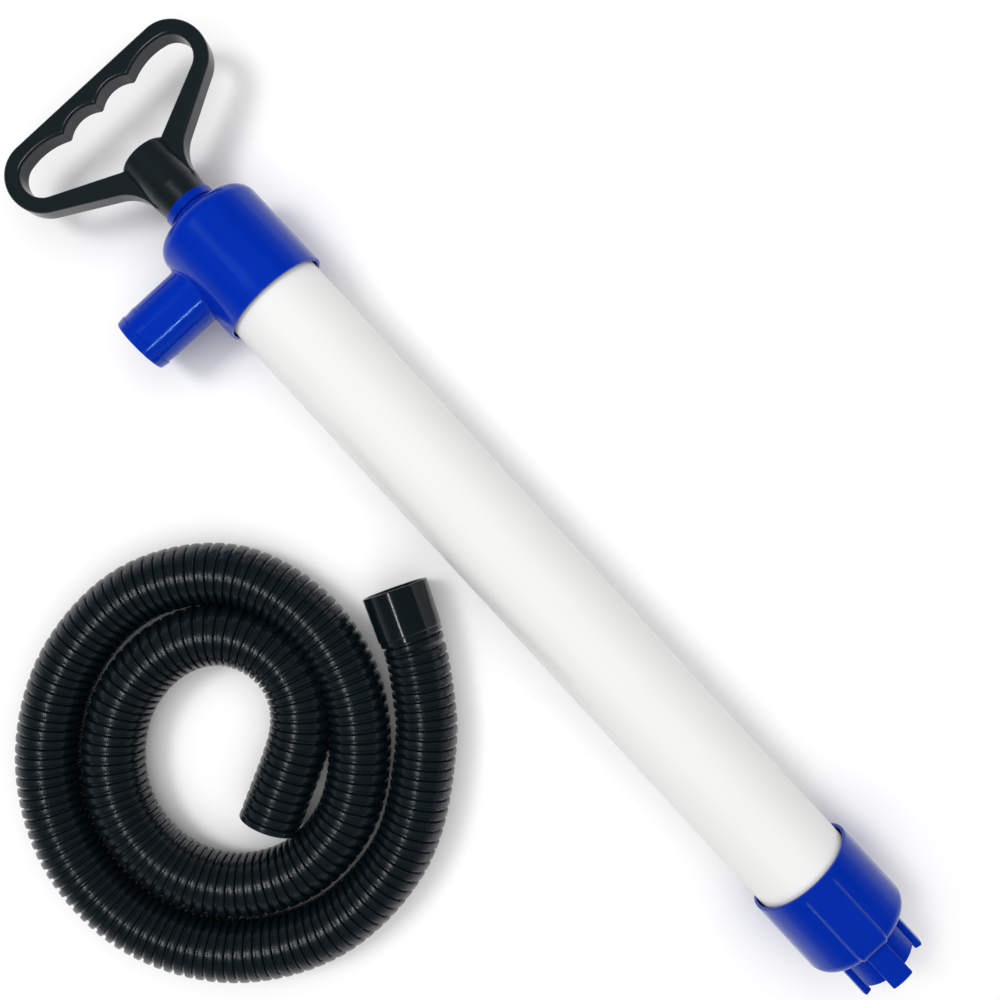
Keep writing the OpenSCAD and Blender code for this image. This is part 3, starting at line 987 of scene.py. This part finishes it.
@dataclass
class Plunger:
    """The handle, the rod and the piston that they drive."""

    shop: Workshop
    width: float = 115.2
    thick: float = 11.6
    edge: float = 1.3
    lobe_r: float = 17.4
    bar: float = 7.3
    pitch: float = 19.9
    ridge_depth: float = 10.3
    valley_depth: float = 6.7
    ridge_round: float = 1.9
    corner_back: float = 5.25
    arm_outer: float = 29.0
    arm_inner: float = 25.0
    stem_fillet: float = 18.0
    hub_r: float = 12.8
    hub_h: float = 30.6
    hub_taper_h: float = 10.0
    core_r: float = 0.4
    stem_r: float = 11.6
    socket: float = 22.0
    rod_wall: float = 1.5

    def build(self) -> None:
        """Makes the handle and the rod, and dresses the piston's pieces."""
        self._handle()
        self._rod()
        for node in ("piston_body", "piston_retainer"):
            self.shop.keep(node, ACETAL)
        self.shop.keep("rod_plug", BLACK_GRIP)
        self.shop.keep("piston_washer", STEEL)
        self.shop.keep("piston_screw", STEEL)
        self.shop.keep("piston_seal", RUBBER)
        self.shop.keep("piston_valve_disc", RUBBER)

    def _outer_half(self, grip: float, stem: float) -> list[Point]:
        """Right half of the outside of the loop, from the stem up to the middle of the grip."""
        lobe = (self.width / 2 - self.lobe_r, grip - self.lobe_r)
        a = -90 + self.arm_outer
        tx = lobe[0] + self.lobe_r * math.cos(math.radians(a))
        tz = lobe[1] + self.lobe_r * math.sin(math.radians(a))
        side = self.hub_r - 0.5
        corner = tz - (tx - side) * math.tan(math.radians(self.arm_outer))
        foot = corner - self.stem_fillet * math.tan(math.radians((90 - self.arm_outer) / 2))
        neck = arc((side + self.stem_fillet, foot), self.stem_fillet, 180, 90 + self.arm_outer, 4)
        return [(self.stem_r - 2, stem + 1)] + neck + arc(lobe, self.lobe_r, a, 90, 4)

    def _ridge(self, a: Vector, ra: float, b: Vector, rb: float) -> Vector:
        """Centre of a finger ridge's rounding, which touches the hollows on both sides of it."""
        gap = (b - a).length
        da, db = ra + self.ridge_round, rb + self.ridge_round
        along = (da**2 - db**2 + gap**2) / (2 * gap)
        ahead = (b - a).normalized()
        return a + ahead * along + Vector((-ahead.y, ahead.x)) * math.sqrt(da**2 - along**2)

    def _inner_half(self, grip: float, stem: float) -> list[Point]:
        """Right half of the hole, from the middle ridge round to the hub."""
        lobe = (self.width / 2 - self.lobe_r, grip - self.lobe_r)
        sag = self.ridge_depth - self.valley_depth
        half = self.pitch / 2
        end = lobe[0] - self.corner_back
        r1 = (half**2 + sag**2) / (2 * sag)
        half2 = end - self.pitch
        r2 = (half2**2 + sag**2) / (2 * sag)
        hollow1 = Vector((half, grip - self.valley_depth - r1))
        hollow2 = Vector((end, grip - self.valley_depth - r2))
        mirror = Vector((-hollow1.x, hollow1.y))
        tip0 = self._ridge(mirror, r1, hollow1, r1)
        tip1 = self._ridge(hollow1, r1, hollow2, r2)
        points = self._between(tip0, self.ridge_round, -90.0, self._angle(hollow1 - tip0))
        points += self._between(hollow1, r1, self._angle(tip0 - hollow1), self._angle(tip1 - hollow1))
        points += self._between(tip1, self.ridge_round, self._angle(hollow1 - tip1),
                                self._angle(hollow2 - tip1))
        turn = self._angle(Vector(lobe) - hollow2)
        points += self._between(hollow2, r2, self._angle(tip1 - hollow2), turn)
        points += arc(lobe, self.lobe_r - self.bar, turn, -90 + self.arm_inner, 5)
        return points + [(self.hub_r - 1, stem + self.hub_h - 0.5)]

    @staticmethod
    def _angle(way: Vector) -> float:
        """Angle of a direction, in degrees."""
        return math.degrees(math.atan2(way.y, way.x))

    @staticmethod
    def _between(centre: Vector, radius: float, start: float, end: float) -> list[Point]:
        """Arc between two angles by the shorter way, without its last point."""
        turn = (end - start + 180) % 360 - 180
        return arc((centre.x, centre.y), radius, start, start + turn, 6)[:-1]

    def _handle(self) -> None:
        """The handle: a flat loop with finger hollows, and a round hub that takes the rod."""
        stem, grip = self.shop.span("handle")
        outer = self._outer_half(grip, stem)
        outer = outer + [(-x, z) for x, z in reversed(outer[:-1])]
        outer = outer[:-1] if math.dist(outer[0], outer[-1]) < 1e-6 else outer
        inner = self._inner_half(grip, stem)
        inner = [(-x, z) for x, z in reversed(inner[1:])] + inner
        inner.reverse()
        maker = MeshMaker()
        outer = filled(outer, lambda run: max(1, round(run / 2.0)))
        inner = filled(inner, lambda run: max(1, round(run / 1.5)))
        maker.plate(outer, inner, self.thick, self.edge)
        stand = Matrix(((0, 0, 1, 0), (1, 0, 0, 0), (0, 1, 0, 0), (0, 0, 0, 1)))
        maker.points = [stand @ p for p in maker.points]
        rod_r = self.shop.radius("rod_tube")
        top = stem + self.hub_h
        maker.lathe(rounded([
            (rod_r, stem, 0.3), (self.stem_r, stem, 0.5), (self.stem_r, stem + 1, 0.0),
            (self.hub_r, stem + self.hub_taper_h, 4.0), (self.hub_r, top, 1.2), (self.core_r, top, 0.0),
            (self.core_r, stem + self.socket, 0.0), (rod_r, stem + self.socket, 0.0)], 6), MIDDLE_SIDES)
        self.shop.add("handle_moulding", maker, BLACK_GRIP, Body.PLUNGER, ["handle"])

    def _rod(self) -> None:
        """The hollow rod, with eased ends."""
        low, high = self.shop.span("rod_tube")
        r = self.shop.radius("rod_tube")
        maker = MeshMaker()
        bore_r = r - self.rod_wall
        outline = rounded([(bore_r, low, 0.2), (r, low, 0.4), (r, high, 0.4), (bore_r, high, 0.2)], 3)
        maker.lathe(outline, SMALL_SIDES)
        self.shop.add("rod_drawn_tube", maker, DRAWN_TUBE, Body.PLUNGER, ["rod_tube"])


@dataclass
class Studio:
    """A plain pale floor and soft light.

    Attributes:
        floor_size: Width of the floor, in metres.
        floor_shade: How pale the floor is, from 0 to 1.
        horizon: Brightness of the room low down.
        zenith: Brightness of the room overhead.
        sky_edge: Height at which the room is at its dimmest, from 0 to 1.
        aim: The point that every lamp faces, in metres.
    """

    floor_size: float = 8.0
    floor_shade: float = 0.9
    horizon: float = 0.6
    zenith: float = 0.08
    sky_edge: float = 0.5
    aim: tuple[float, float, float] = (0.0, 0.05, 0.0)

    def build(self) -> None:
        """Lays the floor and hangs the lights."""
        self._floor()
        self._sky()
        self._lamp("key", (1.1, 0.64, 2.17), (0.7, 0.7), 18.0, mirrored=False)
        self._lamp("ceiling", (0.0, 0.05, 3.0), (6.0, 6.0), 165.0, mirrored=False)
        self._lamp("spout_strip", (-1.41, 0.35, 1.5), (0.03, 1.2), 11.0, lit=["head_moulding"])
        self._lamp("hose_strip", (0.15, 0.43, 1.1), (0.04, 0.4), 1.2, along=(0.917, -0.399, 0.0),
                   lit=["hose_ribbed", "hose_cuff_piece"])
        self._lamp("grip_strip", (0.08, 0.0, 1.4), (0.25, 0.5), 5.5, lit=["handle_moulding"])

    def _floor(self) -> None:
        """The floor, a plain pale sheet."""
        bpy.ops.mesh.primitive_plane_add(size=self.floor_size)
        floor = bpy.context.object
        floor.name = "floor"
        paint = bpy.data.materials.new("floor_paint")
        paint.use_nodes = True
        shader = paint.node_tree.nodes["Principled BSDF"]
        shader.inputs["Base Color"].default_value = (*(self.floor_shade,) * 3, 1.0)
        shader.inputs["Roughness"].default_value = 0.9
        shader.inputs["Specular IOR Level"].default_value = 0.1
        floor.data.materials.append(paint)

    def _sky(self) -> None:
        """A dim room overhead that is pale towards the horizon."""
        world = bpy.data.worlds.new("room")
        bpy.context.scene.world = world
        world.use_nodes = True
        nodes, links = world.node_tree.nodes, world.node_tree.links
        place = nodes.new("ShaderNodeTexCoord").outputs["Generated"]
        split = nodes.new("ShaderNodeSeparateXYZ")
        links.new(place, split.inputs["Vector"])
        ramp = nodes.new("ShaderNodeValToRGB")
        horizon, zenith = ramp.color_ramp.elements
        horizon.position = 0.0
        horizon.color = (*(self.horizon,) * 3, 1.0)
        zenith.position = self.sky_edge
        zenith.color = (*(self.zenith,) * 3, 1.0)
        links.new(split.outputs["Z"], ramp.inputs["Fac"])
        links.new(ramp.outputs["Color"], nodes["Background"].inputs["Color"])

    def _lamp(self, name: str, place: tuple[float, float, float], size: Point, power: float,
              along: tuple[float, float, float] = (0.0, 1.0, 0.0), mirrored: bool = True,
              lit: list[str] | None = None) -> None:
        """Hangs a soft lamp that faces the pump.

        Args:
            name: The lamp's name.
            place: Where it hangs, in metres.
            size: Its width and length, in metres.
            power: Its power in watts.
            along: The way its length runs.
            mirrored: Shows as a highlight in glossy pieces.
            lit: Names of the only pieces that it lights, or everything.
        """
        data = bpy.data.lights.new(name, "AREA")
        data.shape = "RECTANGLE"
        data.size, data.size_y = size
        data.energy = power
        back = (Vector(place) - Vector(self.aim)).normalized()
        wide = Vector(along).cross(back).normalized()
        lamp = bpy.data.objects.new(name, data)
        turn = Matrix((wide, back.cross(wide), back)).transposed().to_4x4()
        lamp.matrix_world = Matrix.Translation(place) @ turn
        lamp.visible_camera = False
        lamp.visible_glossy = mirrored
        bpy.context.scene.collection.objects.link(lamp)
        if lit:
            receivers = bpy.data.collections.new(name + "_receivers")
            for piece in lit:
                receivers.objects.link(bpy.data.objects[piece])
            lamp.light_linking.receiver_collection = receivers
        LOG.info("lamp %s, %.1f W", name, power)


def main() -> None:
    """Builds the camera, the hose, the pump and the studio."""
    logging.basicConfig(level=logging.INFO, format="%(name)s %(message)s")
    for thing in list(bpy.data.objects):
        bpy.data.objects.remove(thing)
    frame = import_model()
    bpy.context.scene.view_settings.view_transform = "Standard"
    shop = Workshop(frame)
    Camera().build()
    Hose(shop).build()
    Barrel(shop).build()
    Head(shop).build()
    Foot(shop).build()
    Plunger(shop).build()
    Studio().build()


if __name__ == "__main__":
    main()
